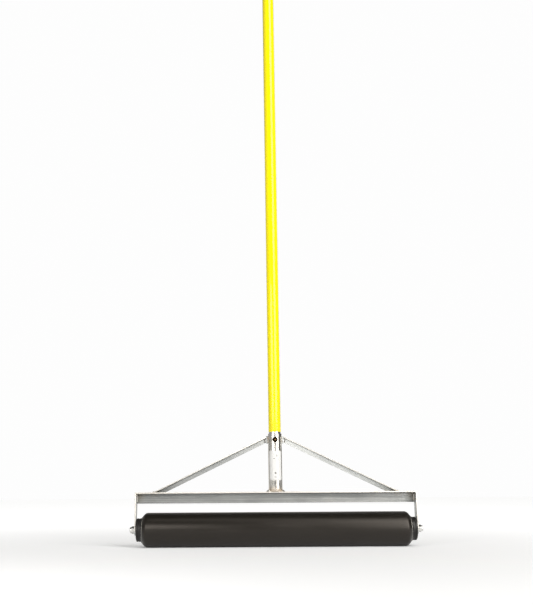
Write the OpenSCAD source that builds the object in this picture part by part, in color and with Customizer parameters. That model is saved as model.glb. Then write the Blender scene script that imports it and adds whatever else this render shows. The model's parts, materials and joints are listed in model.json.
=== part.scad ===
// Wide floor roller: a long pole in a braced yoke that carries a smooth rubber-covered roller.
// X runs along the roller, Z up the pole and -Y is the front. The origin is on the ground
// line, straight below the middle of the roller. All sizes are in millimetres.

/* [Roller] */
// Length of the rubber face
face_w = 610; // [450:10:910]
// Diameter over the rubber
roller_d = 76; // [72:1:90]
// Outside diameter of the steel core tube
core_d = 60; // [58:1:62]
// Wall of the steel core tube
core_wall = 3; // [2:0.5:4]
// Diameter of the collar on each end plug
collar_d = 51.5; // [46:0.5:53]
// How far each collar stands out from the roller face
collar_h = 10.5; // [8:0.5:14]

/* [Axle] */
// Diameter of the fixed axle rod
axle_d = 9.5; // [8:0.5:12]
// Across-flats size of the lock nuts
nut_af = 14.3; // [13:0.1:19]
// Full length of a lock nut
nut_h = 10.6; // [9:0.1:14]

/* [Yoke] */
// Leg width of the crossbar angle and width of the two arms
bar_w = 25; // [20:1:32]
// Thickness of the crossbar and the arms
bar_t = 3; // [2.5:0.1:4]
// Clear height between the roller and the bottom edge of the crossbar
bar_gap = 20; // [12:1:30]
// Leg width of the brace angles
brace_w = 12; // [10:0.1:15]
// Thickness of the brace angles
brace_t = 2.4; // [2:0.1:3]
// Slope of the braces above the crossbar, in degrees
brace_angle = 25.6; // [22:0.1:30]

/* [Socket] */
// Outside diameter of the handle socket
socket_d = 31.8; // [30:0.1:36]
// Wall of the handle socket
socket_wall = 2; // [1.5:0.1:2]
// Height of the handle socket above the crossbar
socket_h = 131; // [110:1:150]
// Diameter of the latch hole in the socket
latch_hole_d = 9.6; // [9:0.1:11]
// Height of the blank label
label_h = 67; // [40:1:70]

/* [Handle] */
// Outside diameter of the coated handle
handle_d = 28.6; // [26:0.1:29]
// Thickness of the plastic coat
coat_t = 0.6; // [0.4:0.1:0.8]
// Wall of the handle tube
tube_wall = 1.2; // [1:0.1:1.6]
// Length of the handle tube
handle_l = 1524; // [1200:1:1800]
// Depth of the handle tube inside the socket
insert_l = 100; // [80:1:110]
// Diameter of the hole for hanging the tool up
hang_hole_d = 8; // [6:0.5:9]

/* [Hidden] */
$fn = 72;
eps = 1;

// Colours
rubber = [0.10, 0.09, 0.08];
black_plastic = [0.07, 0.07, 0.07];
bronze = [0.62, 0.44, 0.22];
steel = [0.72, 0.73, 0.72];
bright_steel = [0.86, 0.85, 0.82];
yellow = [0.97, 0.90, 0.02];

// Roller
axle_z = roller_d / 2;
face_x = face_w / 2;
hub_x = face_x + collar_h;
core_bore_d = core_d - 2 * core_wall;
lip_h = 3;
core_x = face_x - lip_h;
bevel_h = 6;
bevel_round = 2;
plug_l = 40;
groove_x = face_x + collar_h * 0.48;
groove_w = 1.4;
groove_depth = 1.5;
collar_edge = 2.5;

// Bearings: the bush runs on the axle, and its flange lies in the plug's outer face
bush_clear = 0.05;
bush_d = 16;
bush_l = 22;
bush_flange_d = 22;
bush_flange_h = 1.6;
plug_axle_clear = 1.5;
washer_d = 20;
washer_gap = 0.15;
washer_h = 1.3;

// Yoke
arm_in_x = hub_x + washer_h + 2 * washer_gap;
arm_out_x = arm_in_x + bar_t;
nut_x = arm_out_x + nut_h;
axle_end = 0.6;
nut_hex_share = 0.72;
ring_h = 2;
ring_wall = 1.5;
bar_bottom_z = roller_d + bar_gap;
bar_top_z = bar_bottom_z + bar_w;
weld_leg = 3;

// Braces
brace_top_x = 21;
brace_top_z = bar_top_z + 124;
brace_drop = brace_w / cos(brace_angle);
brace_lap = brace_t / cos(brace_angle);
tab_t = 3;
tab_over = 2;

// Socket and latch
socket_r = socket_d / 2;
socket_bore_r = socket_r - socket_wall;
socket_top_z = bar_top_z + socket_h;
latch_z = socket_top_z - 14;
socket_weld_h = 6;
socket_weld_w = 5;
label_t = 0.2;
label_angle = 112;
label_z = bar_top_z + 25;

// Handle
coat_gap = 4;
tube_r = handle_d / 2 - coat_t;
tube_bore_r = tube_r - tube_wall;
handle_z = socket_top_z - insert_l;
handle_top_z = handle_z + handle_l;
cap_plug_l = 32;
cap_plug_clear = 0.05;
cap_body_h = 20;
cap_crown_h = 6;
cap_step = 0.4;

// Snap button, drawn as it stands when latched
button_r = 3;
button_tip_y = -(socket_r + 0.4);
button_flange_r = 5;
button_flange_y = -10.4;
button_flange_h = 1;
tube_latch_hole_r = 4.3;
leaf_t = 0.8;
leaf_w = 8;
leaf_bend_z = latch_z - 38;
leaf_back_y = 11.2;

// Turns a shape drawn along Z so that it lies along X on the axle's line
module on_axle() {
    translate([0, 0, axle_z]) rotate([0, 90, 0]) children();
}

// Draws its child on the right, or mirrored on the left when s is -1
module on_side(s) {
    mirror([s < 0 ? 1 : 0, 0, 0]) children();
}

// A plate drawn in X and Z and given a thickness from y0 towards +Y
module upright(y0, thickness) {
    translate([0, y0 + thickness, 0]) rotate([90, 0, 0]) linear_extrude(thickness) children();
}

module roller_cover() {
    r = roller_d / 2;
    half_outline = [
        [core_d / 2, 0], [r, 0], [r, core_x - bevel_h - bevel_round],
        [r - bevel_round * 0.4, core_x - bevel_h], [core_d / 2, core_x]
    ];
    color(rubber) on_axle() for (s = [0, 1]) mirror([0, 0, s]) rotate_extrude() polygon(half_outline);
}

module core_tube() {
    color(steel) on_axle() difference() {
        cylinder(h = 2 * core_x, d = core_d, center = true);
        cylinder(h = 2 * core_x + 2 * eps, d = core_bore_d, center = true);
    }
}

// The plug's body is pressed into the core tube, its lip covers the tube's end, and the
// grooved collar stands out towards the arm
module end_plug(s) {
    bore_r = axle_d / 2 + plug_axle_clear;
    collar_r = collar_d / 2;
    outline = [
        [bore_r, core_x - plug_l], [core_bore_d / 2, core_x - plug_l], [core_bore_d / 2, core_x],
        [core_d / 2, core_x], [collar_r + 1, face_x], [collar_r, face_x],
        [collar_r, groove_x - groove_w / 2], [collar_r - groove_depth, groove_x - groove_w / 2],
        [collar_r - groove_depth, groove_x + groove_w / 2], [collar_r, groove_x + groove_w / 2],
        [collar_r, hub_x - collar_edge], [collar_r - collar_edge * 0.3, hub_x - collar_edge * 0.3],
        [collar_r - collar_edge, hub_x], [bush_flange_d / 2, hub_x],
        [bush_flange_d / 2, hub_x - bush_flange_h], [bush_d / 2, hub_x - bush_flange_h],
        [bush_d / 2, hub_x - bush_l], [bore_r, hub_x - bush_l]
    ];
    color(black_plastic) on_side(s) on_axle() rotate_extrude() polygon(outline);
}

module bush(s) {
    color(bronze) on_side(s) on_axle() difference() {
        union() {
            translate([0, 0, hub_x - bush_l]) cylinder(h = bush_l, d = bush_d);
            translate([0, 0, hub_x - bush_flange_h]) cylinder(h = bush_flange_h, d = bush_flange_d);
        }
        translate([0, 0, hub_x - bush_l - eps])
            cylinder(h = bush_l + 2 * eps, d = axle_d + 2 * bush_clear);
    }
}

module axle() {
    color(steel) on_axle() cylinder(h = 2 * (nut_x + axle_end), d = axle_d, center = true);
}

module thrust_washer(s) {
    color(steel) on_side(s) on_axle() translate([0, 0, hub_x + washer_gap]) difference() {
        cylinder(h = washer_h, d = washer_d);
        translate([0, 0, -eps]) cylinder(h = washer_h + 2 * eps, d = axle_d);
    }
}

// A lock nut: a hexagon against the arm and a round crown that holds the locking ring
module lock_nut(s) {
    hex_h = nut_h * nut_hex_share;
    ring_r = axle_d / 2 + ring_wall;
    color(bright_steel) on_side(s) on_axle() translate([0, 0, arm_out_x]) difference() {
        union() {
            cylinder(h = hex_h, d = nut_af / cos(30), $fn = 6);
            cylinder(h = nut_h, d = nut_af - 1);
        }
        translate([0, 0, -eps]) cylinder(h = nut_h + 2 * eps, d = axle_d);
        translate([0, 0, nut_h - ring_h]) cylinder(h = ring_h + eps, r = ring_r);
    }
}

module lock_rings() {
    color("white") for (s = [-1, 1]) on_side(s) on_axle() translate([0, 0, nut_x - ring_h]) {
        difference() {
            cylinder(h = ring_h, r = axle_d / 2 + ring_wall);
            translate([0, 0, -eps]) cylinder(h = ring_h + 2 * eps, d = axle_d);
        }
    }
}

// A flat arm with a round lower end, from the axle up to the underside of the crossbar
module arm(s) {
    arm_h = bar_top_z - bar_t - axle_z;
    color(steel) on_side(s) difference() {
        union() {
            translate([arm_in_x, -bar_w / 2, axle_z]) cube([bar_t, bar_w, arm_h]);
            on_axle() translate([0, 0, arm_in_x]) cylinder(h = bar_t, d = bar_w);
        }
        on_axle() translate([0, 0, arm_in_x - eps]) cylinder(h = bar_t + 2 * eps, d = axle_d);
    }
}

// The crossbar's flange lies over both arms, and its web hangs between them at the back
module crossbar() {
    color(steel) {
        translate([-arm_out_x, -bar_w / 2, bar_top_z - bar_t]) cube([2 * arm_out_x, bar_w, bar_t]);
        translate([-arm_in_x, bar_w / 2 - bar_t, bar_bottom_z]) cube([2 * arm_in_x, bar_t, bar_w - bar_t]);
    }
}

// Fillet welds in the corner of each arm, down the web and forward under the flange
module arm_welds() {
    web_y = bar_w / 2 - bar_t;
    flange_z = bar_top_z - bar_t;
    color(bright_steel) for (s = [-1, 1]) on_side(s) {
        translate([arm_in_x, web_y, bar_bottom_z + weld_leg])
            linear_extrude(bar_w - bar_t - 2 * weld_leg)
                polygon([[0, 0], [-weld_leg, 0], [0, -weld_leg]]);
        upright(-bar_w / 2 + weld_leg, bar_w - bar_t - 2 * weld_leg)
            polygon([[arm_in_x, flange_z], [arm_in_x - weld_leg, flange_z], [arm_in_x, flange_z - weld_leg]]);
    }
}

// X where a brace edge that is drop below the brace's top edge meets the crossbar
function brace_foot_x(drop) = brace_top_x + (brace_top_z - drop - bar_top_z) / tan(brace_angle);

// One strip of a brace, from its top edge down to drop below it
module brace_strip(drop) {
    polygon([
        [brace_top_x, brace_top_z], [brace_foot_x(0), bar_top_z],
        [brace_foot_x(drop), bar_top_z], [brace_top_x, brace_top_z - drop]
    ]);
}

// A small angle with its flange on top and its web at the back, cut level at the foot
module brace(s) {
    color(steel) on_side(s) {
        upright(-brace_w / 2, brace_w) brace_strip(brace_lap);
        upright(brace_w / 2 - brace_t, brace_t) brace_strip(brace_drop);
    }
}

// The upright ear on the socket's side that the end of a brace is welded to
module brace_tab(s) {
    tab_h = brace_drop + 2 * tab_over;
    color(steel) on_side(s) difference() {
        translate([0, -tab_t / 2, brace_top_z - tab_h + tab_over]) cube([brace_top_x, tab_t, tab_h]);
        translate([0, 0, brace_top_z - tab_h]) cylinder(h = 2 * tab_h, r = socket_r);
    }
}

// Fillet welds at the foot of each brace and where its end meets the ear
module brace_welds() {
    foot_x = brace_foot_x(0);
    end_z = brace_top_z - brace_drop;
    color(bright_steel) for (s = [-1, 1]) on_side(s) {
        upright(-brace_w / 2 + eps, brace_w - 2 * eps)
            polygon([
                [foot_x, bar_top_z], [foot_x + weld_leg, bar_top_z],
                [foot_x - weld_leg, bar_top_z + weld_leg * tan(brace_angle)]
            ]);
        translate([brace_top_x, tab_t / 2, end_z]) linear_extrude(brace_w - weld_leg)
            polygon([[0, 0], [0, weld_leg - eps], [eps - weld_leg, 0]]);
    }
}

module handle_socket() {
    color(bright_steel) difference() {
        translate([0, 0, bar_top_z]) cylinder(h = socket_h, r = socket_r);
        translate([0, 0, bar_top_z - eps]) cylinder(h = socket_h + 2 * eps, r = socket_bore_r);
        translate([0, 0, latch_z]) rotate([90, 0, 0]) cylinder(h = socket_d, d = latch_hole_d);
    }
}

// The weld bead round the socket's foot, no wider than the crossbar
module socket_weld() {
    reach = socket_r + socket_weld_w;
    color(bright_steel) intersection() {
        translate([0, 0, bar_top_z]) difference() {
            cylinder(h = socket_weld_h, r1 = reach, r2 = socket_r + 0.2);
            translate([0, 0, -eps]) cylinder(h = socket_weld_h + 2 * eps, r = socket_r);
        }
        translate([-reach, -bar_w / 2, bar_top_z]) cube([2 * reach, bar_w, socket_weld_h]);
    }
}

module label() {
    color("white") translate([0, 0, label_z]) rotate([0, 0, -90 - label_angle / 2])
        rotate_extrude(angle = label_angle)
            translate([socket_r, 0]) square([label_t, label_h]);
}

module handle_tube() {
    color(steel) difference() {
        translate([0, 0, handle_z]) cylinder(h = handle_l, r = tube_r);
        translate([0, 0, handle_z - eps]) cylinder(h = handle_l + 2 * eps, r = tube_bore_r);
        translate([0, 0, latch_z]) rotate([90, 0, 0]) cylinder(h = handle_d, r = tube_latch_hole_r);
    }
}

module handle_coat() {
    coat_z = socket_top_z + coat_gap;
    color(yellow) translate([0, 0, coat_z]) difference() {
        cylinder(h = handle_top_z - coat_z, d = handle_d);
        translate([0, 0, -eps]) cylinder(h = handle_top_z - coat_z + 2 * eps, r = tube_r);
    }
}

module snap_button() {
    stem_l = button_flange_y - button_tip_y;
    tip_h = 1;
    color(bronze) translate([0, button_flange_y, latch_z]) rotate([90, 0, 0]) {
        cylinder(h = button_flange_h / 2, r = button_flange_r);
        cylinder(h = stem_l - tip_h, r = button_r);
        translate([0, 0, stem_l - tip_h]) cylinder(h = tip_h, r1 = button_r, r2 = button_r * 0.6);
    }
}

// A strip of spring steel from one point to another in the plane of Y and Z
module leaf(from, to) {
    run = to - from;
    translate([-leaf_w / 2, from[0], from[1]]) rotate([atan2(run[1], run[0]), 0, 0])
        cube([leaf_w, norm(run), leaf_t]);
}

module button_spring() {
    bend = [0, leaf_bend_z];
    front = [button_flange_y + 1.1, latch_z + button_flange_r];
    heel = [button_flange_y + 1.1, latch_z - button_flange_r];
    back = [leaf_back_y, latch_z - 6];
    color(steel) {
        leaf(heel, bend);
        leaf(front, heel);
        leaf(bend, back);
        translate([-leaf_w / 2, bend[0], bend[1]]) rotate([0, 90, 0]) cylinder(h = leaf_w, r = leaf_t);
    }
}

// A plug in the handle's top end, with a head just inside the coat's edge and a cross hole for a hook
module end_cap() {
    head_r = handle_d / 2 - cap_step;
    body_z = handle_top_z + cap_body_h;
    color(black_plastic) difference() {
        union() {
            translate([0, 0, handle_top_z - cap_plug_l])
                cylinder(h = cap_plug_l + eps, r = tube_bore_r - cap_plug_clear);
            translate([0, 0, handle_top_z]) cylinder(h = cap_body_h, r = head_r);
            translate([0, 0, body_z]) cylinder(h = cap_crown_h * 0.6, r1 = head_r, r2 = head_r * 0.82);
            translate([0, 0, body_z + cap_crown_h * 0.6])
                cylinder(h = cap_crown_h * 0.4, r1 = head_r * 0.82, r2 = head_r * 0.45);
        }
        translate([0, 0, handle_top_z + cap_body_h / 2]) rotate([0, 90, 0])
            cylinder(h = handle_d + 2 * eps, d = hang_hole_d, center = true);
    }
}

roller_cover();
core_tube();
end_plug(-1);  // end_plug_left
end_plug(1);  // end_plug_right
bush(-1);  // bush_left
bush(1);  // bush_right
axle();
thrust_washer(-1);  // thrust_washer_left
thrust_washer(1);  // thrust_washer_right
lock_nut(-1);  // lock_nut_left
lock_nut(1);  // lock_nut_right
lock_rings();
arm(-1);  // arm_left
arm(1);  // arm_right
crossbar();
arm_welds();
brace(-1);  // brace_left
brace(1);  // brace_right
brace_tab(-1);  // brace_tab_left
brace_tab(1);  // brace_tab_right
brace_welds();
handle_socket();
socket_weld();
label();
handle_tube();
handle_coat();
snap_button();
button_spring();
end_cap();
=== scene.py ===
import json
from math import asin, cos, pi, radians, sin, sqrt, tan

import bmesh
import bpy
from mathutils import Matrix, Vector


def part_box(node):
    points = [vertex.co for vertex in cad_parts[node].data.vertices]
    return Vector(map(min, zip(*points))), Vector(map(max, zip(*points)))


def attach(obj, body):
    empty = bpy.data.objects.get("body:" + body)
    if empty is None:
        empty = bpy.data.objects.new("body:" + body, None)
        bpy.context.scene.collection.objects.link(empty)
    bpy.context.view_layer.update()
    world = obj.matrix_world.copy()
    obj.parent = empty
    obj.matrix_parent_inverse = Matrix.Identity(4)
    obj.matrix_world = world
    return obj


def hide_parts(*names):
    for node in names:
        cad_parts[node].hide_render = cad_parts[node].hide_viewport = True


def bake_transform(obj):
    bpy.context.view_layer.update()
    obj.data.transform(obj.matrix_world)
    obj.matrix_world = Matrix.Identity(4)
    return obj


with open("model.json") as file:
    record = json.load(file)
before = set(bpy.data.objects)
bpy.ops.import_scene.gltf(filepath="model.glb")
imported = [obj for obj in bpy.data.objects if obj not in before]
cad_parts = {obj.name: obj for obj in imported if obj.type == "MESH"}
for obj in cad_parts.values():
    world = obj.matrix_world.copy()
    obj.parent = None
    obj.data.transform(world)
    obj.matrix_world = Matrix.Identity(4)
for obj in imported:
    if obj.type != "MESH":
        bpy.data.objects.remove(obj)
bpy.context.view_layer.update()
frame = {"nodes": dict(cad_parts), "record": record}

# Looks for a long-handled floor roller: finer meshes and procedural materials around the
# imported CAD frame. Lengths are in metres, X runs along the roller and Z up the handle.

SIDES = {"left": -1, "right": 1}
MM = 0.001
TINY = 1e-6
SHARP_DEG = 38  # edges that turn more than this stay sharp in shading and get rounded


# -------- sizes from the frame

def centre(node):
    """Middle of a CAD node's box."""
    low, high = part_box(node)
    return (low + high) / 2


def size(node):
    """Widths of a CAD node's box along X, Y and Z."""
    low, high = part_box(node)
    return high - low


AXLE_Z = centre("roller_cover").z
ROLLER_R = size("roller_cover").z / 2
COVER_X = size("roller_cover").x / 2
CORE_R = size("core_tube").z / 2
PLUG_IN_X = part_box("end_plug_right")[0].x
HUB_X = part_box("end_plug_right")[1].x
BUSH_IN_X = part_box("bush_right")[0].x
BUSH_FLANGE_R = size("bush_right").z / 2
AXLE_R = size("axle").z / 2
AXLE_X = size("axle").x / 2
ARM_IN_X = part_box("arm_right")[0].x
ARM_OUT_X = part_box("arm_right")[1].x
NUT_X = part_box("lock_nut_right")[1].x
NUT_AF = size("lock_nut_right").y
BAR_LOW, BAR_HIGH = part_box("crossbar")
BAR_T = ARM_OUT_X - ARM_IN_X
BRACE_LOW, BRACE_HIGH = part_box("brace_right")
SOCKET_LOW, SOCKET_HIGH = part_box("handle_socket")
SOCKET_R = SOCKET_HIGH.x
TUBE_R = size("handle_tube").x / 2
COAT_R = size("handle_coat").x / 2
COAT_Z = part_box("handle_coat")[0].z
HANDLE_TOP_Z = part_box("handle_tube")[1].z
LATCH_Z = centre("snap_button").z

# Wall thicknesses and holes that no box in the frame gives
CORE_WALL = 3 * MM
BUSH_R = 8 * MM
BUSH_FLANGE_T = 1.6 * MM
BRACE_T = 2.4 * MM
SOCKET_WALL = 2 * MM
TUBE_WALL = 1.2 * MM
SOCKET_HOLE_R = 4.8 * MM
TUBE_HOLE_R = 4.3 * MM
SLIP = 0.05 * MM  # room between a bore and the rod in it


# -------- mesh helpers

def add(name, data):
    """A new object in the scene."""
    obj = bpy.data.objects.new(name, data)
    bpy.context.scene.collection.objects.link(obj)
    return obj


def make_object(name, vertices, faces, sharp_deg=SHARP_DEG):
    """A new mesh object from its points and faces."""
    mesh = bpy.data.meshes.new(name)
    mesh.from_pydata([tuple(v) for v in vertices], [], faces)
    mesh.validate()
    obj = add(name, mesh)
    tidy_normals(obj, sharp_deg)
    return obj


def shade(obj, sharp_deg=SHARP_DEG):
    """Smooth shading with sharp edges where faces meet at a larger angle."""
    obj.data.shade_smooth()
    obj.data.set_sharp_from_angle(angle=radians(sharp_deg))


def tidy_normals(obj, sharp_deg=SHARP_DEG):
    """Merges doubled points, turns the faces outwards and sets smooth shading."""
    bm = bmesh.new()
    bm.from_mesh(obj.data)
    bmesh.ops.remove_doubles(bm, verts=bm.verts, dist=1e-7)
    bmesh.ops.recalc_face_normals(bm, faces=bm.faces)
    bm.to_mesh(obj.data)
    bm.free()
    shade(obj, sharp_deg)


def modify(obj, kind, **settings):
    """Puts a modifier on obj and applies it."""
    modifier = obj.modifiers.new(kind, kind)
    for key, value in settings.items():
        setattr(modifier, key, value)
    bpy.context.view_layer.update()
    graph = bpy.context.evaluated_depsgraph_get()
    mesh = bpy.data.meshes.new_from_object(obj.evaluated_get(graph))
    obj.modifiers.clear()
    obj.data = mesh
    tidy_normals(obj)


def cut(obj, cutter):
    """Takes the cutter out of obj and removes the cutter."""
    modify(obj, "BOOLEAN", operation="DIFFERENCE", solver="EXACT", object=cutter)
    bpy.data.objects.remove(cutter)


def break_edges(obj, width, segments=2, angle_deg=SHARP_DEG):
    """Rounds by width every edge that turns more than the angle."""
    modify(
        obj, "BEVEL", width=width, segments=segments, limit_method="ANGLE",
        angle_limit=radians(angle_deg), miter_outer="MITER_ARC",
    )


def join(target, *others):
    """Adds the others' meshes to target's mesh."""
    bm = bmesh.new()
    bm.from_mesh(target.data)
    for other in others:
        bm.from_mesh(other.data)
        bpy.data.objects.remove(other)
    bm.to_mesh(target.data)
    bm.free()
    shade(target)
    return target


def rounded(corners, steps=5):
    """Turns corners (a, b, radius) into a closed outline with round corners."""
    most = 0.49  # a round corner takes less than half of each side that it meets
    outline = []
    count = len(corners)
    for i, (a, b, radius) in enumerate(corners):
        here = Vector((a, b))
        to_last = Vector(corners[i - 1][:2]) - here
        to_next = Vector(corners[(i + 1) % count][:2]) - here
        if radius <= 0:
            outline.append((a, b))
            continue
        half = to_last.angle(to_next) / 2
        back = min(radius / tan(half), to_last.length * most, to_next.length * most)
        real = back * tan(half)
        start = here + to_last.normalized() * back
        end = here + to_next.normalized() * back
        inward = (to_last.normalized() + to_next.normalized()).normalized()
        middle = here + inward * (real / sin(half))
        turn = (start - middle).angle_signed(end - middle)
        for k in range(steps + 1):
            spoke = (start - middle).copy()
            spoke.rotate(Matrix.Rotation(-turn * k / steps, 2))
            outline.append(tuple(middle + spoke))
    return outline


def band(low, high, count):
    """Faces that join two rings of count points, which start at these indices."""
    turns = [(i, (i + 1) % count) for i in range(count)]
    return [[low + i, low + j, high + j, high + i] for i, j in turns]


def lathe(name, outline, place, segments=128):
    """Revolves a closed outline of (radius, height); place(radius, height, angle) gives a point."""
    vertices, rings = [], []
    for radius, height in outline:
        if radius < TINY:
            rings.append([len(vertices)] * segments)
            vertices.append(place(0, height, 0))
            continue
        rings.append(list(range(len(vertices), len(vertices) + segments)))
        for i in range(segments):
            vertices.append(place(radius, height, 2 * pi * i / segments))
    faces = []
    for ring, following in zip(rings, rings[1:] + rings[:1]):
        for i in range(segments):
            j = (i + 1) % segments
            corners = list(dict.fromkeys([ring[i], ring[j], following[j], following[i]]))
            if len(corners) > 2:
                faces.append(corners)
    return make_object(name, vertices, faces)


def about_axle(side=1):
    """Places a lathed point about the axle's line, with its height going outwards on that side."""
    return lambda r, h, a: Vector((side * h, r * cos(a), AXLE_Z + r * sin(a)))


def about_handle(r, h, a):
    """Places a lathed point about the handle's line, with its height going up."""
    return Vector((r * cos(a), r * sin(a), h))


def about_latch(r, h, a):
    """Places a lathed point about the latch's line, with its height going to the front."""
    return Vector((r * cos(a), -h, LATCH_Z + r * sin(a)))


def along_x(y, z, x):
    """Places a point of an outline in Y and Z that is swept along X."""
    return Vector((x, y, z))


def prism(name, outline, place, start, end):
    """Sweeps an outline of (a, b) from start to end; place(a, b, s) gives a point."""
    count = len(outline)
    vertices = [place(a, b, s) for s in (start, end) for a, b in outline]
    faces = [list(range(count))[::-1], list(range(count, 2 * count))] + band(0, count, count)
    return make_object(name, vertices, faces)


def block(name, low, high):
    """A plain box, used only as a cutter or as one of a piece's ribs."""
    outline = [(low[0], low[1]), (high[0], low[1]), (high[0], high[1]), (low[0], high[1])]
    return prism(name, outline, lambda a, b, s: Vector((a, b, s)), low[2], high[2])


def rod_cutter(place, radius, start, end):
    """A round bar that cuts a hole."""
    return lathe("cutter", [(0, start), (radius, start), (radius, end), (0, end)], place, 64)


def bead(name, path, radius, seed, ripple=1.9 * MM, sides=14):
    """A weld bead along a path: overlapping ripples, a wandering width and rounded ends."""
    rings_per_ripple, fewest_rings = 6, 8
    points = [Vector(p) for p in path]
    lengths = [0.0]
    for p, q in zip(points, points[1:]):
        lengths.append(lengths[-1] + (q - p).length)
    total = lengths[-1]
    count = max(fewest_rings, int(total / (ripple / rings_per_ripple)))
    vertices, faces = [], []
    last_normal = Vector((0.13, 0.31, 0.94))  # any direction that no path runs along
    for k in range(count + 1):
        s = total * k / count
        i = max(n for n, l in enumerate(lengths) if l <= s + 1e-9 and n < len(points) - 1)
        share = (s - lengths[i]) / max(lengths[i + 1] - lengths[i], 1e-9)
        here = points[i].lerp(points[i + 1], share)
        along = (points[i + 1] - points[i]).normalized()
        first = (last_normal - along * last_normal.dot(along)).normalized()
        second = along.cross(first)
        last_normal = first
        wave = (s / ripple) % 1.0
        scallop = 0.90 + 0.14 * sqrt(max(0.0, 1 - (2 * wave - 1) ** 2))
        wander = 1 + 0.07 * sin(s * 310 + seed) + 0.05 * sin(s * 733 + 2.1 * seed)
        end_round = min(s, total - s) / radius
        taper = sqrt(max(0.0, 1 - (1 - min(1.0, end_round)) ** 2)) * 0.97 + 0.03
        r = radius * scallop * wander * taper
        sideways = first * (radius * 0.10 * sin(s * 420 + 3 * seed))
        for n in range(sides):
            a = 2 * pi * n / sides
            vertices.append(here + sideways + (first * cos(a) + second * sin(a)) * r)
    for k in range(count):
        faces += band(k * sides, (k + 1) * sides, sides)
    faces.append(list(range(sides))[::-1])
    faces.append([count * sides + n for n in range(sides)])
    return make_object(name, vertices, faces, 60)


# -------- material helpers

class Nodes:
    """Short ways to build a node tree over one set of coordinates."""

    def __init__(self, tree, coords):
        self.tree = tree
        self.coords = tree.nodes.new("ShaderNodeTexCoord").outputs[coords]

    def node(self, kind, **settings):
        """A new node with its settings."""
        node = self.tree.nodes.new(kind)
        for key, value in settings.items():
            setattr(node, key, value)
        return node

    def fill(self, node, **values):
        """Sets inputs of a node to plain values, with _ for a space in their names."""
        for name, value in values.items():
            node.inputs[name.replace("_", " ")].default_value = value

    def link(self, start, end):
        """Joins an output to an input."""
        self.tree.links.new(start, end)

    def stretched(self, stretch, shift=(0, 0, 0)):
        """The coordinates, scaled along each axis and shifted."""
        mapping = self.node("ShaderNodeMapping")
        self.fill(mapping, Scale=stretch, Location=shift)
        self.link(self.coords, mapping.inputs["Vector"])
        return mapping.outputs["Vector"]

    def noise(self, scale, stretch=(1, 1, 1), detail=4.0, rough=0.55, shift=(0, 0, 0), distortion=0.0):
        """Soft random patches, 0 to 1."""
        noise = self.node("ShaderNodeTexNoise")
        self.fill(noise, Scale=scale, Detail=detail, Roughness=rough, Distortion=distortion)
        self.link(self.stretched(stretch, shift), noise.inputs["Vector"])
        return noise.outputs["Fac"]

    def cells(self, scale):
        """Distance from the middles of random cells."""
        cells = self.node("ShaderNodeTexVoronoi")
        self.fill(cells, Scale=scale)
        self.link(self.coords, cells.inputs["Vector"])
        return cells.outputs["Distance"]

    def ramp(self, value, low, high, start=0.0, end=1.0):
        """Maps low..high of a texture smoothly to start..end."""
        span = self.node("ShaderNodeMapRange", interpolation_type="SMOOTHSTEP")
        self.fill(span, From_Min=low, From_Max=high, To_Min=start, To_Max=end)
        self.link(value, span.inputs["Value"])
        return span.outputs["Result"]

    def maths(self, operation, a, b=0.0):
        """One sum over two values, each a number or another node's output."""
        node = self.node("ShaderNodeMath", operation=operation)
        for socket, value in zip(node.inputs, (a, b)):
            if isinstance(value, (int, float)):
                socket.default_value = value
            else:
                self.link(value, socket)
        return node.outputs[0]

    def axis(self, letter):
        """The coordinate along X, Y or Z."""
        split = self.node("ShaderNodeSeparateXYZ")
        self.link(self.coords, split.inputs[0])
        return split.outputs[letter]

    def near(self, point, reach):
        """1 at a point, falling smoothly to 0 at reach from it."""
        away = self.node("ShaderNodeVectorMath", operation="DISTANCE")
        self.link(self.coords, away.inputs[0])
        away.inputs[1].default_value = point
        return self.ramp(away.outputs["Value"], reach, 0.0)


class Finish(Nodes):
    """A Principled material whose colour, roughness and bump are built up in layers."""

    def __init__(self, name, colour, roughness, metallic=0.0, **sockets):
        self.material = bpy.data.materials.new(name)
        self.material.use_nodes = True
        super().__init__(self.material.node_tree, "Object")
        self.shader = self.tree.nodes["Principled BSDF"]
        self.fill(self.shader, Base_Color=(*colour, 1), Roughness=roughness, Metallic=metallic)
        self.fill(self.shader, **sockets)
        self.normal = None

    def tint(self, colour, amount):
        """Mixes a colour over the base colour where amount is high."""
        socket = self.shader.inputs["Base Color"]
        mix = self.node("ShaderNodeMix", data_type="RGBA")
        if socket.is_linked:
            self.link(socket.links[0].from_socket, mix.inputs["A"])
        else:
            mix.inputs["A"].default_value = socket.default_value
        mix.inputs["B"].default_value = (*colour, 1)
        self.link(amount, mix.inputs["Factor"])
        self.link(mix.outputs["Result"], socket)

    def patch(self, colour, texture, low, high, most=1.0):
        """Mixes in up to most of a colour as a texture goes from low to high."""
        self.tint(colour, self.ramp(texture, low, high, 0.0, most))

    def roughen(self, value):
        """Sets the roughness to a texture."""
        self.link(value, self.shader.inputs["Roughness"])

    def bump(self, height, distance, strength):
        """Adds a relief on top of the ones already there."""
        bump = self.node("ShaderNodeBump")
        self.fill(bump, Strength=strength, Distance=distance)
        self.link(height, bump.inputs["Height"])
        if self.normal:
            self.link(self.normal, bump.inputs["Normal"])
        self.normal = bump.outputs["Normal"]
        self.link(self.normal, self.shader.inputs["Normal"])


# -------- materials

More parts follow.
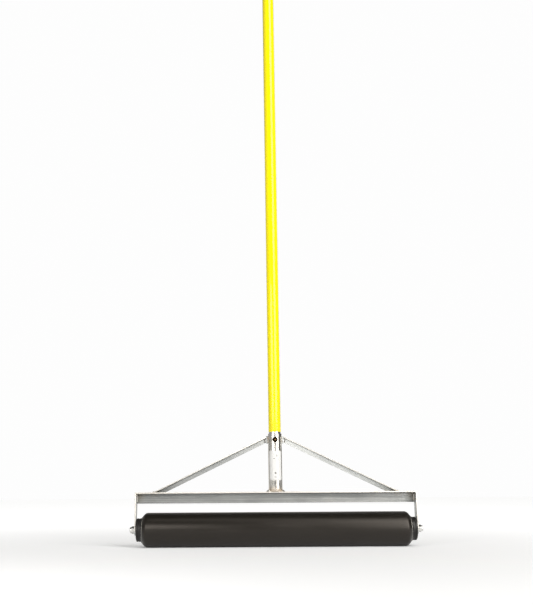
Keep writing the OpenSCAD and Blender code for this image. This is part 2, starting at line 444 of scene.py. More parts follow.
def rubber_finish():
    """Ground black rubber with warm highlights: fine grain, grinding rings, scuffs, a little dust."""
    warm = (1, 0.92, 0.85, 1)
    f = Finish("rubber", (0.0065, 0.0052, 0.0038), 0.3, Specular_IOR_Level=0.46, Specular_Tint=warm)
    patches = f.noise(9, (0.35, 1, 1), 5, 0.6)
    rings = f.noise(160, (1, 0.02, 0.02), 2)
    grain = f.noise(1100, detail=3, rough=0.7)
    streaks = f.noise(38, (0.15, 1, 1), 6, 0.65, (3, 1, 2))
    f.patch((0.012, 0.0105, 0.0085), patches, 0.42, 0.72, 0.55)
    f.patch((0.034, 0.031, 0.027), streaks, 0.62, 0.80, 0.25)
    f.patch((0.003, 0.0026, 0.002), grain, 0.55, 0.30, 0.45)
    scuff = f.ramp(streaks, 0.45, 0.75, -0.03, 0.10)
    f.roughen(f.maths("ADD", f.ramp(grain, 0.3, 0.7, 0.30, 0.41), scuff))
    f.bump(grain, 0.12 * MM, 0.35)
    f.bump(rings, 0.10 * MM, 0.25)
    return f.material


def plastic_finish():
    """Moulded black plastic with a faint grain and paler rubbed patches."""
    f = Finish("black_plastic", (0.011, 0.010, 0.009), 0.4, Specular_IOR_Level=0.42)
    grain = f.noise(1500, detail=2)
    patches = f.noise(60, detail=5, rough=0.6)
    f.patch((0.040, 0.038, 0.035), patches, 0.55, 0.80, 0.4)
    f.patch((0.006, 0.0055, 0.005), patches, 0.45, 0.25, 0.5)
    f.roughen(f.ramp(patches, 0.3, 0.7, 0.32, 0.50))
    f.bump(grain, 0.08 * MM, 0.3)
    return f.material


def plated_finish(name, tone, front_y, lined=0.0):
    """Zinc-plated rolled steel: cloudy plating, streaks, pits and a painted highlight along the front
    edge at front_y.

    tone makes the whole plating paler or darker, and lined is how much the rolling lines show; on the
    arms and the right brace a paler tone is painted light, and on the left brace a darker one is
    painted shade.
    """
    def grey(red, green, blue):
        return red * tone, green * tone, blue * tone

    f = Finish(name, grey(0.56, 0.57, 0.56), 0.5, 1.0)
    clouds = f.noise(22, (0.5, 1, 1), 6, 0.65)
    mottle = f.noise(330, detail=4, rough=0.7)
    streaks = f.noise(500, (0.02, 1, 1), 3)
    spangle = f.cells(260)
    pits = f.noise(700, detail=2, shift=(1, 2, 3))
    edge = f.ramp(f.axis("Y"), front_y + 1.0 * MM, front_y + 0.4 * MM)
    rolled = f.noise(330, (0.008, 1, 1), 3, 0.6, (0, 0.4, 0.2))
    straw = f.noise(14, shift=(5, 5, 5), detail=5)
    f.patch(grey(0.33, 0.34, 0.34), rolled, 0.50, 0.66, lined)
    f.patch(grey(0.80, 0.81, 0.79), rolled, 0.46, 0.32, lined)
    f.patch(grey(0.43, 0.445, 0.44), clouds, 0.40, 0.70, 0.65)
    f.patch(grey(0.68, 0.69, 0.67), mottle, 0.50, 0.75, 0.5)
    f.patch(grey(0.50, 0.46, 0.38), straw, 0.58, 0.78, 0.35)
    # Painted highlight: paler front edges, where the lights catch them.
    f.tint((0.80, 0.77, 0.72), f.maths("MULTIPLY", edge, f.ramp(mottle, 0.3, 0.7, 1.0, 0.75)))
    f.patch(grey(0.30, 0.295, 0.28), pits, 0.66, 0.76, 0.5)
    for side in SIDES.values():
        corner = (side * ARM_IN_X, BAR_HIGH.y, BAR_HIGH.z - BAR_T)
        foot = (side * BRACE_HIGH.x, 0, BAR_HIGH.z)
        for place, reach in ((corner, 26 * MM), (foot, 20 * MM)):
            heat = f.maths("MULTIPLY", f.near(place, reach), f.ramp(mottle, 0.35, 0.65, 0.25, 0.6))
            f.tint(grey(0.48, 0.38, 0.26), heat)
    rough = f.ramp(mottle, 0.3, 0.7, 0.46, 0.62)
    f.roughen(f.maths("ADD", rough, f.ramp(clouds, 0.4, 0.7, -0.03, 0.06)))
    f.bump(spangle, 0.10 * MM, 0.25)
    f.bump(streaks, 0.06 * MM, 0.35)
    f.bump(mottle, 0.10 * MM, 0.3)
    return f.material


def bright_finish():
    """Bright plated tube: drawn lines, scratches, brown heat tint near welds, and a dark patch round
    the latch that is partly an oily stain and partly painted shade of the hole.
    """
    f = Finish("bright_steel", (0.86, 0.835, 0.785), 0.15, 1.0)
    drawn = f.noise(520, (1, 1, 0.015), 2)
    clouds = f.noise(45, (1, 1, 0.4), 5, 0.6)
    scratches = f.noise(260, (1, 1, 0.05), 4, 0.7, (4, 4, 4), 0.6)
    low = f.ramp(f.axis("Z"), BAR_HIGH.z + 17 * MM, BAR_HIGH.z + 2 * MM)
    heat = f.maths("MULTIPLY", low, f.ramp(clouds, 0.32, 0.62, 0.35, 1.0))
    f.patch((0.66, 0.63, 0.58), clouds, 0.45, 0.75, 0.5)
    f.tint((0.45, 0.31, 0.17), f.maths("MULTIPLY", heat, 0.75))
    for side in SIDES.values():
        ear = (side * SOCKET_R, 0, BRACE_HIGH.z - 8 * MM)
        f.tint((0.46, 0.36, 0.25), f.maths("MULTIPLY", f.near(ear, 13 * MM), 0.5))
    f.patch((0.42, 0.40, 0.36), scratches, 0.64, 0.72, 0.4)
    # Painted shade of the latch hole, spread round it on the socket, with an oily stain.
    oily_stain_and_hole_shade = f.near((0, -SOCKET_R, LATCH_Z), 9.8 * MM)
    f.patch((0.009, 0.007, 0.005), oily_stain_and_hole_shade, 0.15, 0.35)
    dull = f.maths("MULTIPLY", heat, 0.18)
    f.roughen(f.maths("ADD", f.ramp(clouds, 0.35, 0.7, 0.13, 0.24), dull))
    f.bump(drawn, 0.05 * MM, 0.18)
    f.bump(scratches, 0.05 * MM, 0.12)
    return f.material


def fastener_finish():
    """Bright zinc fasteners with a faint straw tint and handling marks."""
    f = Finish("fastener_steel", (0.70, 0.70, 0.68), 0.28, 1.0)
    clouds = f.noise(120, detail=5, rough=0.6)
    marks = f.noise(900, detail=3)
    f.patch((0.62, 0.55, 0.40), clouds, 0.50, 0.75, 0.5)
    f.patch((0.33, 0.32, 0.30), marks, 0.60, 0.75, 0.5)
    f.roughen(f.ramp(marks, 0.3, 0.7, 0.20, 0.40))
    f.bump(marks, 0.05 * MM, 0.3)
    return f.material


def weld_finish():
    """Plated-over weld metal: dull, blotchy, with brown and blue heat colours."""
    f = Finish("weld_steel", (0.55, 0.54, 0.51), 0.38, 1.0)
    blotches = f.noise(170, detail=5, rough=0.65)
    grains = f.noise(1200, detail=3)
    f.patch((0.33, 0.25, 0.17), blotches, 0.46, 0.66, 0.75)
    f.patch((0.70, 0.69, 0.66), blotches, 0.42, 0.28, 0.7)
    blue = f.noise(110, shift=(7, 1, 4))
    f.patch((0.28, 0.31, 0.36), blue, 0.58, 0.72, 0.45)
    f.roughen(f.ramp(grains, 0.3, 0.7, 0.28, 0.52))
    f.bump(grains, 0.12 * MM, 0.4)
    return f.material


def bronze_finish():
    """Oiled sintered bronze with open pores; on the snap button a dark coat that is partly a black film
    and partly painted shade of the hole, with a paler tip that is partly wear and partly a painted
    glint.
    """
    f = Finish("bronze", (0.40, 0.24, 0.11), 0.32, 1.0)
    pores = f.noise(1600, detail=2)
    film = f.noise(150, detail=5)
    f.patch((0.24, 0.14, 0.07), film, 0.45, 0.70, 0.7)
    f.patch((0.12, 0.07, 0.04), pores, 0.62, 0.72, 0.7)
    tip = (0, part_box("snap_button")[0].y, LATCH_Z)
    button, glint_and_wear = f.near(tip, 12 * MM), f.near(tip, 2.2 * MM)
    # Painted shade of the hole over the whole button, with a black film; the paler tip is a painted
    # glint and wear.
    f.patch((0.02, 0.013, 0.009), button, 0.0, 0.35, 0.95)
    f.patch((0.30, 0.165, 0.07), glint_and_wear, 0.2, 0.6)
    f.roughen(f.ramp(film, 0.3, 0.7, 0.34, 0.52))
    f.bump(pores, 0.06 * MM, 0.4)
    return f.material


def nylon_finish():
    """Hazy white nylon."""
    f = Finish("nylon", (0.72, 0.73, 0.70), 0.42, Subsurface_Weight=0.15, Subsurface_Scale=0.001)
    haze = f.noise(400, detail=4)
    f.patch((0.55, 0.55, 0.50), haze, 0.45, 0.75, 0.6)
    f.roughen(f.ramp(haze, 0.3, 0.7, 0.34, 0.52))
    f.bump(haze, 0.05 * MM, 0.3)
    return f.material


# Middle in X, middle in Z from the label's own, half width, half height
LABEL_BARS = (
    (3.5 * MM, 22 * MM, 1.1 * MM, 2.6 * MM), (-3 * MM, 15.5 * MM, 2.2 * MM, 0.7 * MM),
    (0, -17 * MM, 2.0 * MM, 1.8 * MM), (0, -26 * MM, 2.6 * MM, 0.9 * MM),
)


def label_finish():
    """White film: a soft sheen, greyer rubbed edges, scratches and a few plain printed bars."""
    soft = 0.15 * MM
    f = Finish("label_film", (0.69, 0.69, 0.68), 0.30, Specular_IOR_Level=0.5)
    rub = f.noise(70, detail=6, rough=0.65)
    scratches = f.noise(420, (1, 1, 0.12), 4, 0.7, (2, 2, 2), 0.8)
    ends = f.maths("ABSOLUTE", f.maths("SUBTRACT", f.axis("Z"), centre("label").z))
    half = size("label").z / 2
    edge = f.ramp(ends, half - 3 * MM, half)
    f.patch((0.66, 0.65, 0.62), rub, 0.50, 0.78, 0.5)
    f.tint((0.52, 0.50, 0.46), f.maths("MULTIPLY", edge, f.ramp(rub, 0.35, 0.65, 0.1, 0.7)))
    f.patch((0.50, 0.49, 0.47), scratches, 0.66, 0.73, 0.45)
    for x, z, half_w, half_h in LABEL_BARS:
        over = [
            f.maths("SUBTRACT", f.maths("ABSOLUTE", f.maths("SUBTRACT", f.axis(letter), middle)), reach)
            for letter, middle, reach in (("X", x, half_w), ("Z", centre("label").z + z, half_h))
        ]
        inside = f.ramp(f.maths("MAXIMUM", *over), soft, -soft)
        f.tint((0.13, 0.12, 0.11), f.maths("MULTIPLY", inside, f.ramp(rub, 0.35, 0.65, 0.9, 0.55)))
    f.roughen(f.ramp(rub, 0.3, 0.7, 0.24, 0.42))
    f.bump(rub, 0.10 * MM, 0.25)
    return f.material


def coat_finish():
    """Glossy yellow extruded coat: faint draw lines, orange peel, scuffs and a dirtier low end."""
    f = Finish(
        "yellow_coat", (0.86, 0.735, 0.0), 0.26, Specular_IOR_Level=0.2,
        Specular_Tint=(1, 0.9, 0.2, 1), Coat_Weight=1.0, Coat_Roughness=0.12, Coat_IOR=1.5,
    )
    clouds = f.noise(9, (1, 1, 0.35), 5, 0.6)
    draw = f.noise(700, (1, 1, 0.004), 2)
    peel = f.noise(420, detail=2)
    scuffs = f.noise(130, (1, 1, 0.18), 6, 0.7, (6, 3, 1), 0.7)
    low = f.ramp(f.axis("Z"), COAT_Z + 60 * MM, COAT_Z)
    f.patch((0.84, 0.71, 0.0), clouds, 0.40, 0.72, 0.6)
    f.patch((0.92, 0.83, 0.004), clouds, 0.45, 0.28, 0.5)
    f.patch((0.60, 0.49, 0.03), scuffs, 0.68, 0.80, 0.4)
    f.tint((0.50, 0.40, 0.04), f.maths("MULTIPLY", low, f.ramp(scuffs, 0.50, 0.72, 0.0, 0.35)))
    f.roughen(f.ramp(scuffs, 0.45, 0.75, 0.20, 0.42))
    f.bump(draw, 0.06 * MM, 0.2)
    f.bump(peel, 0.08 * MM, 0.12)
    return f.material


FINISHES = {
    "rubber": rubber_finish(), "black_plastic": plastic_finish(), "bronze": bronze_finish(),
    "plated_steel": plated_finish("plated_steel", 0.64, BAR_LOW.y, lined=0.7),
    "bright_steel": bright_finish(), "weld_steel": weld_finish(),
    "fastener_steel": fastener_finish(), "nylon": nylon_finish(), "label_film": label_finish(),
    "yellow_coat": coat_finish(),
}
# Lit and shaded copies of the plating: painted light on the arms and the right brace, painted shade on
# the left brace.
ARM_PAINTED_LIGHTER = plated_finish("plated_steel_arm_painted_light", 1.25, BAR_LOW.y)
RIGHT_BRACE_PAINTED_LIGHTER = plated_finish("plated_steel_brace_right_painted_light", 1.2, BRACE_LOW.y)
LEFT_BRACE_PAINTED_DARKER = plated_finish("plated_steel_brace_left_painted_shade", 0.80, BRACE_LOW.y)

# Nodes whose plating is painted paler or darker than their slot's: painted light on the arms and the
# right brace, painted shade on the left brace
NODE_FINISH = {
    "arm_left": ARM_PAINTED_LIGHTER, "arm_right": ARM_PAINTED_LIGHTER,
    "brace_left": LEFT_BRACE_PAINTED_DARKER, "brace_tab_left": LEFT_BRACE_PAINTED_DARKER,
    "brace_right": RIGHT_BRACE_PAINTED_LIGHTER, "brace_tab_right": RIGHT_BRACE_PAINTED_LIGHTER,
}
SLOT_OF = {part["node"]: part["material_slot"] for part in frame["record"]["subparts"]}
BODY_OF = {
    node: body for body, nodes in frame["record"]["behaviour"]["bodies"].items() for node in nodes
}


def dress(obj, node):
    """obj takes a CAD node's place, with the finish of the node or of its slot."""
    slot = SLOT_OF[node]
    obj.data.materials.clear()
    obj.data.materials.append(NODE_FINISH.get(node, FINISHES[slot]))
    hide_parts(node)


def stand_for(obj, node):
    """obj takes a CAD node's place, finish and body."""
    dress(obj, node)
    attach(obj, BODY_OF[node])


# -------- the roller

def roller_cover():
    """A rubber sleeve with bevelled, rounded ends, its long face split into rows."""
    corner_x, bevel_r, lip_r, rows = COVER_X - 7 * MM, 12 * MM, 0.4 * MM, 40
    corners = [
        (CORE_R, -COVER_X, lip_r), (ROLLER_R, -corner_x, bevel_r),
        (ROLLER_R, corner_x, bevel_r), (CORE_R, COVER_X, lip_r),
    ]
    outline = rounded(corners, 10)
    top = [i for i, p in enumerate(outline) if p[0] > ROLLER_R - TINY]
    first, last = min(outline[i][1] for i in top), max(outline[i][1] for i in top)
    split = max(i for i in top if outline[i][1] < 0) + 1
    middle = [(ROLLER_R, first + (last - first) * k / rows) for k in range(1, rows)]
    outline = outline[:split] + middle + outline[split:]
    stand_for(lathe("roller_cover_rubber", outline, about_axle(), 192), "roller_cover")


def end_plug(name, side):
    """A plug with a lip, a grooved collar and a round dish with ribs across it."""
    collar_r, groove_r, edge_r = 25.75 * MM, 24.25 * MM, 0.3 * MM
    face_x = COVER_X + 3 * MM
    groove_x = (face_x + HUB_X) / 2
    bore_r = AXLE_R + 1.5 * MM
    tube_bore_r = CORE_R - CORE_WALL
    flange_x = HUB_X - BUSH_FLANGE_T
    dish_in_r, dish_out_r, dish_x, slant = 13.5 * MM, 21.5 * MM, HUB_X - 3 * MM, 0.6 * MM
    rib_count, rib_half, rib_sunk = 8, 0.9 * MM, 0.3 * MM
    corners = [
        (bore_r, PLUG_IN_X, 0), (tube_bore_r, PLUG_IN_X, 1 * MM), (tube_bore_r, COVER_X, 0),
        (CORE_R, COVER_X, 0.5 * MM), (collar_r + 1 * MM, face_x, 0.6 * MM),
        (collar_r, face_x, 0.2 * MM), (collar_r, groove_x - 0.8 * MM, edge_r),
        (groove_r, groove_x - 0.6 * MM, edge_r), (groove_r, groove_x + 0.6 * MM, edge_r),
        (collar_r, groove_x + 0.8 * MM, edge_r), (collar_r, HUB_X, 3 * MM),
        (dish_out_r, HUB_X, 0.5 * MM), (dish_out_r - slant, dish_x, 0.6 * MM),
        (dish_in_r + slant, dish_x, 0.6 * MM), (dish_in_r, HUB_X, 0.5 * MM),
        (BUSH_FLANGE_R, HUB_X, 0.2 * MM), (BUSH_FLANGE_R, flange_x, 0),
        (BUSH_R, flange_x, 0), (BUSH_R, BUSH_IN_X, 0), (bore_r, BUSH_IN_X, 0),
    ]
    plug = lathe(name + "_moulding", rounded(corners, 5), about_axle(side), 128)
    rib_low = (-rib_half, dish_in_r - rib_sunk, dish_x - rib_sunk)
    rib_high = (rib_half, dish_out_r + rib_sunk, HUB_X - 0.5 * MM)
    ribs = []
    for i in range(rib_count):
        rib = block("rib", rib_low, rib_high)
        break_edges(rib, 0.35 * MM)
        turn = Matrix.Rotation(2 * pi * i / rib_count, 4, "X")
        to_axle = Matrix(((0, 0, side, 0), (1, 0, 0, 0), (0, 1, 0, 0), (0, 0, 0, 1)))
        rib.data.transform(Matrix.Translation((0, 0, AXLE_Z)) @ turn @ to_axle)
        ribs.append(rib)
    join(plug, *ribs)
    tidy_normals(plug)
    stand_for(plug, name)


def bush(name, side):
    """A flanged bearing bush."""
    bore_r, flange_x = AXLE_R + SLIP, HUB_X - BUSH_FLANGE_T
    corners = [
        (bore_r, BUSH_IN_X, 0.4 * MM), (BUSH_R, BUSH_IN_X, 0.6 * MM), (BUSH_R, flange_x, 0),
        (BUSH_FLANGE_R, flange_x, 0.2 * MM), (BUSH_FLANGE_R, HUB_X, 0.4 * MM),
        (bore_r, HUB_X, 0.5 * MM),
    ]
    stand_for(lathe(name + "_turned", rounded(corners, 4), about_axle(side), 96), name)


def core_tube():
    """The steel tube under the rubber keeps its CAD mesh."""
    node = frame["nodes"]["core_tube"]
    node.data.materials.clear()
    node.data.materials.append(FINISHES[SLOT_OF["core_tube"]])


# -------- the axle and its fasteners

def axle():
    """A plain rod with a cut thread at each end, which fades in over its first turn."""
    pitch, depth, thread_l, chamfer = 1.5875 * MM, 0.85 * MM, 15 * MM, 1.0 * MM
    sides, steps, plain = 48, 8, 12
    thread_in = AXLE_X - thread_l
    stations = [(-thread_in + 2 * thread_in * k / plain, 0.0) for k in range(plain + 1)]
    rings = int(thread_l / pitch * steps)
    cut_in = [(thread_in + thread_l * k / rings, min(1.0, k / steps)) for k in range(1, rings + 1)]
    stations = [(-x, d) for x, d in reversed(cut_in)] + stations + cut_in
    vertices, faces = [], []
    for x, amount in stations:
        for i in range(sides):
            a = 2 * pi * i / sides
            phase = (x / pitch - i / sides) % 1.0
            flank = abs(2 * phase - 1)
            r = AXLE_R - amount * depth * min(1.0, max(0.0, 1.25 * flank - 0.1))
            r = min(r, AXLE_R - depth * 0.9 + max(0.0, AXLE_X - abs(x)) * depth / chamfer)
            vertices.append(Vector((x, r * cos(a), AXLE_Z + r * sin(a))))
    last = (len(stations) - 1) * sides
    for start in range(0, last, sides):
        faces += band(start, start + sides, sides)
    faces.append(list(range(sides))[::-1])
    faces.append([last + i for i in range(sides)])
    stand_for(make_object("axle_rod", vertices, faces, 50), "axle")


def thrust_washer(name, side):
    """A pressed washer, rounder on its inner face."""
    low, high = sorted(abs(corner.x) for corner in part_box(name))
    out_r = size(name).z / 2
    corners = [
        (AXLE_R, low, 0.2 * MM), (out_r, low, 0.45 * MM),
        (out_r, high, 0.25 * MM), (AXLE_R, high, 0.2 * MM),
    ]
    stand_for(lathe(name + "_pressed", rounded(corners, 4), about_axle(side), 96), name)


def lock_nut(name, side):
    """A hexagon with chamfered corners under a round crown that is rolled in over its ring."""
    flat_r, corner_r = NUT_AF / 2, NUT_AF / 2 / cos(pi / 6)
    length = NUT_X - ARM_OUT_X
    hex_l, crown_r, ring_r = length * 0.68, flat_r - 0.5 * MM, AXLE_R + 1.25 * MM
    sixth = pi / 3
    rows = [  # distance from the arm, largest radius
        (0, AXLE_R), (0, AXLE_R + 0.9 * MM), (0, flat_r - 0.5 * MM), (0.1 * MM, flat_r - 0.1 * MM),
        (0.75 * MM, corner_r), (hex_l - 0.9 * MM, corner_r),
        (hex_l - 0.3 * MM, flat_r + 0.15 * MM), (hex_l, flat_r - 0.25 * MM),
        (hex_l + 0.25 * MM, crown_r + 0.05 * MM), (hex_l + 0.8 * MM, crown_r),
        (length - 1.3 * MM, crown_r), (length - 0.7 * MM, crown_r - 0.12 * MM),
        (length - 0.25 * MM, crown_r - 0.42 * MM), (length, crown_r - 0.85 * MM),
        (length - 0.1 * MM, ring_r - 0.1 * MM), (length - 0.5 * MM, ring_r - 0.15 * MM),
        (length - 2 * MM, ring_r), (length - 2 * MM, AXLE_R),
    ]
    count = 144
    vertices, faces = [], []
    for x, limit in rows:
        for i in range(count):
            a = 2 * pi * i / count
            flat = flat_r / cos((a + sixth / 2) % sixth - sixth / 2)
            vertices.append(about_axle(side)(min(limit, flat), ARM_OUT_X + x, a))
    for k in range(len(rows)):
        faces += band(k * count, (k + 1) % len(rows) * count, count)
    stand_for(make_object(name + "_machined", vertices, faces, 24), name)


def lock_rings():
    """The nylon rings in the nuts, pressed a little into the thread."""
    rings = []
    low, high, in_r = NUT_X - 1.9 * MM, NUT_X - 0.45 * MM, AXLE_R - 0.1 * MM
    for name, side in SIDES.items():
        corners = [
            (in_r, low, 0), (AXLE_R + 1.2 * MM, low, 0),
            (AXLE_R + 1.1 * MM, high, 0.3 * MM), (in_r, high, 0.4 * MM),
        ]
        rings.append(lathe("lock_rings_" + name, rounded(corners, 4), about_axle(side), 96))
    stand_for(join(*rings), "lock_rings")


# -------- the yoke

def arm(name, side):
    """A flat bar with a round lower end and the axle's hole."""
    half, top_z, steps = BAR_HIGH.y, BAR_HIGH.z - BAR_T, 28
    outline = [(-half, top_z), (half, top_z)]
    for k in range(steps + 1):
        a = -pi * k / steps
        outline.append((half * cos(a), AXLE_Z + half * sin(a)))
    bar = prism(name + "_bar", outline, along_x, side * ARM_IN_X, side * ARM_OUT_X)
    cut(bar, rod_cutter(about_axle(side), AXLE_R + SLIP, ARM_IN_X - BAR_T, ARM_OUT_X + BAR_T))
    break_edges(bar, 0.45 * MM, 3)
    stand_for(bar, name)


def angle_outline(leg, thickness):
    """An angle bar's section, flange on top and web at the back, as (y, z) from its heel."""
    heel, toe, root = 0.5 * MM, 0.3 * MM, thickness * 0.8
    return rounded([
        (0, 0, heel), (0, -leg, heel), (-thickness, -leg, toe), (-thickness, -thickness, root),
        (-leg, -thickness, toe), (-leg, 0, toe),
    ], 6)


def crossbar():
    """A rolled angle whose web is cut away over the arms."""
    section = angle_outline(BAR_HIGH.z - BAR_LOW.z, BAR_T)
    outline = [(y + BAR_HIGH.y, z + BAR_HIGH.z) for y, z in section]
    bar = prism("crossbar_angle", outline, along_x, BAR_LOW.x, BAR_HIGH.x)
    for side in SIDES.values():
        xs = sorted((side * ARM_IN_X, side * (ARM_OUT_X + BAR_T)))
        low = (xs[0], BAR_LOW.y - BAR_T, BAR_LOW.z - BAR_T)
        high = (xs[1], BAR_HIGH.y + BAR_T, BAR_HIGH.z - BAR_T)
        cut(bar, block("cutter", low, high))
    break_edges(bar, 0.35 * MM)
    stand_for(bar, "crossbar")


def brace(name, side):
    """A small angle that follows its slope, cut level at the foot and upright at the socket."""
    leg = BRACE_HIGH.y - BRACE_LOW.y
    top = Vector((BRACE_LOW.x, 0, BRACE_HIGH.z))
    foot = Vector((BRACE_HIGH.x, 0, BRACE_LOW.z))
    along = (foot - top).normalized()
    up = Vector((-along.z, 0, along.x))
    spare = 3 * leg
    outline = [(y + leg / 2, t) for y, t in angle_outline(leg, BRACE_T)]

    def place(y, t, s):
        p = top + along * s + up * t
        return Vector((side * p.x, y, p.z))

    strip = prism(name + "_angle", outline, place, -spare, (foot - top).length + spare)
    bm = bmesh.new()
    bm.from_mesh(strip.data)
    level_cut = ((0, 0, foot.z), (0, 0, -1))
    upright_cut = ((side * top.x, 0, 0), (-side, 0, 0))
    for point, normal in (level_cut, upright_cut):
        result = bmesh.ops.bisect_plane(
            bm, geom=bm.verts[:] + bm.edges[:] + bm.faces[:],
            plane_co=point, plane_no=normal, clear_outer=True,
        )
        edges = [e for e in result["geom_cut"] if isinstance(e, bmesh.types.BMEdge)]
        bmesh.ops.edgeloop_fill(bm, edges=edges)
    bm.to_mesh(strip.data)
    bm.free()
    tidy_normals(strip)
    break_edges(strip, 0.3 * MM)
    stand_for(strip, name)


def brace_tab(name, side):
    """A thin upright ear on the socket's side."""
    low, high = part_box(name)
    inner, outer = sorted((abs(low.x), abs(high.x)))
    corners = [(inner, low.z, 0), (outer, low.z, 2 * MM), (outer, high.z, 1.2 * MM), (inner, high.z, 0)]

    def place(x, z, y):
        return Vector((side * x, y, z))

    ear = prism(name + "_plate", rounded(corners, 5), place, low.y, high.y)
    break_edges(ear, 0.35 * MM)
    stand_for(ear, name)


def weld(name, node, lines):
    """Stands for a weld node with a bead for each line: path, radius, seed, then ripple and sides."""
    stand_for(join(*[bead(name, *line) for line in lines]), node)


def arm_welds():
    """Two beads in the corner between each arm and the crossbar: down the web and along the flange."""
    lines = []
    inset, short, z_top, web_y = 0.6 * MM, 3 * MM, BAR_HIGH.z - BAR_T, BAR_HIGH.y - BAR_T
    for i, side in enumerate(SIDES.values()):
        x = side * (ARM_IN_X - inset)
        down = [(x, web_y - inset, z_top - short), (x, web_y - inset, BAR_LOW.z + short)]
        forward = [(x, web_y - short, z_top - inset), (x, BAR_LOW.y + short, z_top - inset)]
        lines += [(down, 1.7 * MM, i + 0.3), (forward, 1.6 * MM, i + 1.7)]
    weld("arm_weld", "arm_welds", lines)


def brace_welds():
    """Beads across and behind each brace's foot, at its upper end and on both faces of its ear."""
    lines = []
    half = (BRACE_HIGH.y - BRACE_LOW.y) / 2
    slope = (BRACE_HIGH.z - BRACE_LOW.z) / (BRACE_HIGH.x - BRACE_LOW.x)
    drop = 2 * half * sqrt(1 + slope * slope)
    for i, side in enumerate(SIDES.values()):
        heel = side * (BRACE_HIGH.x - 0.8 * MM)
        toe = side * (BRACE_HIGH.x - drop / slope + 1 * MM)
        z = BRACE_LOW.z + 0.4 * MM
        across = [(heel, -half + 1 * MM, z), (heel, half - 1 * MM, z)]
        back = [(heel, half - 0.2 * MM, z), (toe, half - 0.2 * MM, z)]
        ear = side * (BRACE_LOW.x + 0.2 * MM)
        down = [(ear, 1.9 * MM, BRACE_HIGH.z - 1 * MM), (ear, 2.6 * MM, BRACE_HIGH.z - drop + 1 * MM)]
        lines += [(across, 1.7 * MM, i + 0.9), (back, 1.2 * MM, i + 2.2), (down, 2.0 * MM, i + 4.1)]
        root = side * (SOCKET_R + 0.3 * MM)
        ear_z = (BRACE_HIGH.z + 1 * MM, BRACE_HIGH.z - drop)
        for face in (-1, 1):
            beside = [(root, face * 1.9 * MM, z_end) for z_end in ear_z]
            lines.append((beside, 1.1 * MM, i + face))
    weld("brace_weld", "brace_welds", lines)


# -------- the socket and the label

def tube(name, out_r, in_r, low_z, high_z, hole_r, rim):
    """A tube along the handle with a latch hole in its front wall and closer rows round it."""
    outline = [(in_r, low_z), (out_r, low_z)]
    rows = [LATCH_Z + k * 12 * MM for k in range(-9, 0)] + [LATCH_Z + k * 3 * MM for k in range(-5, 6)]
    rows = sorted(z for z in rows if low_z + 1 * MM < z < high_z - 1 * MM)
    outline += [(out_r, z) for z in rows]
    outline += [(out_r, high_z), (in_r, high_z)]
    outline += [(in_r, z) for z in reversed(rows)]
    shell = lathe(name, outline, about_handle, 144)
    cut(shell, rod_cutter(about_latch, hole_r, in_r * 0.5, out_r * 1.5))
    break_edges(shell, rim, 3, 50)
    return shell


def socket_weld():
    """Two heavy fillets where the socket meets the crossbar, left and right."""
    lines = []
    reach = asin(min(1.0, (BAR_HIGH.y - 1.5 * MM) / (SOCKET_R + 1 * MM)))
    steps, ripple, sides = 24, 2.3 * MM, 18
    for i, turn in enumerate((0, pi)):
        for radius, out, up in ((3.4 * MM, 0.9 * MM, 0.5 * MM), (2.0 * MM, 2.9 * MM, 0.3 * MM)):
            angles = [turn - reach + 2 * reach * k / steps for k in range(steps + 1)]
            path = [about_handle(SOCKET_R + out, BAR_HIGH.z + up, a) for a in angles]
            lines.append((path, radius, i + out * 900, ripple, sides))
    weld("socket_weld_bead", "socket_weld", lines)


def label():
    """A thin film wrapped on the socket's front, with round corners and soft edges."""
    low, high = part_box("label")
    half_z, middle_z = (high.z - low.z) / 2, (high.z + low.z) / 2
    half_turn = asin(min(1.0, high.x / SOCKET_R))
    corner, across, rows = 4 * MM, 36, 48
    under, over = SOCKET_R + 0.01 * MM, SOCKET_R + 0.19 * MM
    edge_r = under + 0.08 * MM
    vertices, faces = [], []
    for layer in (under, over):
        for j in range(rows + 1):
            z = -half_z * cos(pi * j / rows)
            beyond = max(0.0, abs(z) - (half_z - corner))
            pull = corner - sqrt(max(0.0, corner * corner - beyond * beyond))
            width = half_turn - pull / SOCKET_R
            for i in range(across + 1):
                a = -pi / 2 + width * (2 * i / across - 1)
                edge = i in (0, across) or j in (0, rows)
                r = edge_r if edge and layer == over else layer
                vertices.append(about_handle(r, middle_z + z, a))
    stride = across + 1
    top = (rows + 1) * stride
    for j in range(rows):
        for i in range(across):
            v = j * stride + i
            quad = [v, v + 1, v + 1 + stride, v + stride]
            faces.append(quad[::-1])
            faces.append([top + v for v in quad])
    rim = list(range(stride)) + [j * stride + across for j in range(1, rows + 1)]
    rim += [rows * stride + i for i in range(across - 1, -1, -1)]
    rim += [j * stride for j in range(rows - 1, 0, -1)]
    for v, w in zip(rim, rim[1:] + rim[:1]):
        faces.append([v, w, top + w, top + v])
    stand_for(make_object("label_film", vertices, faces, 60), "label")


# -------- the handle and its latch

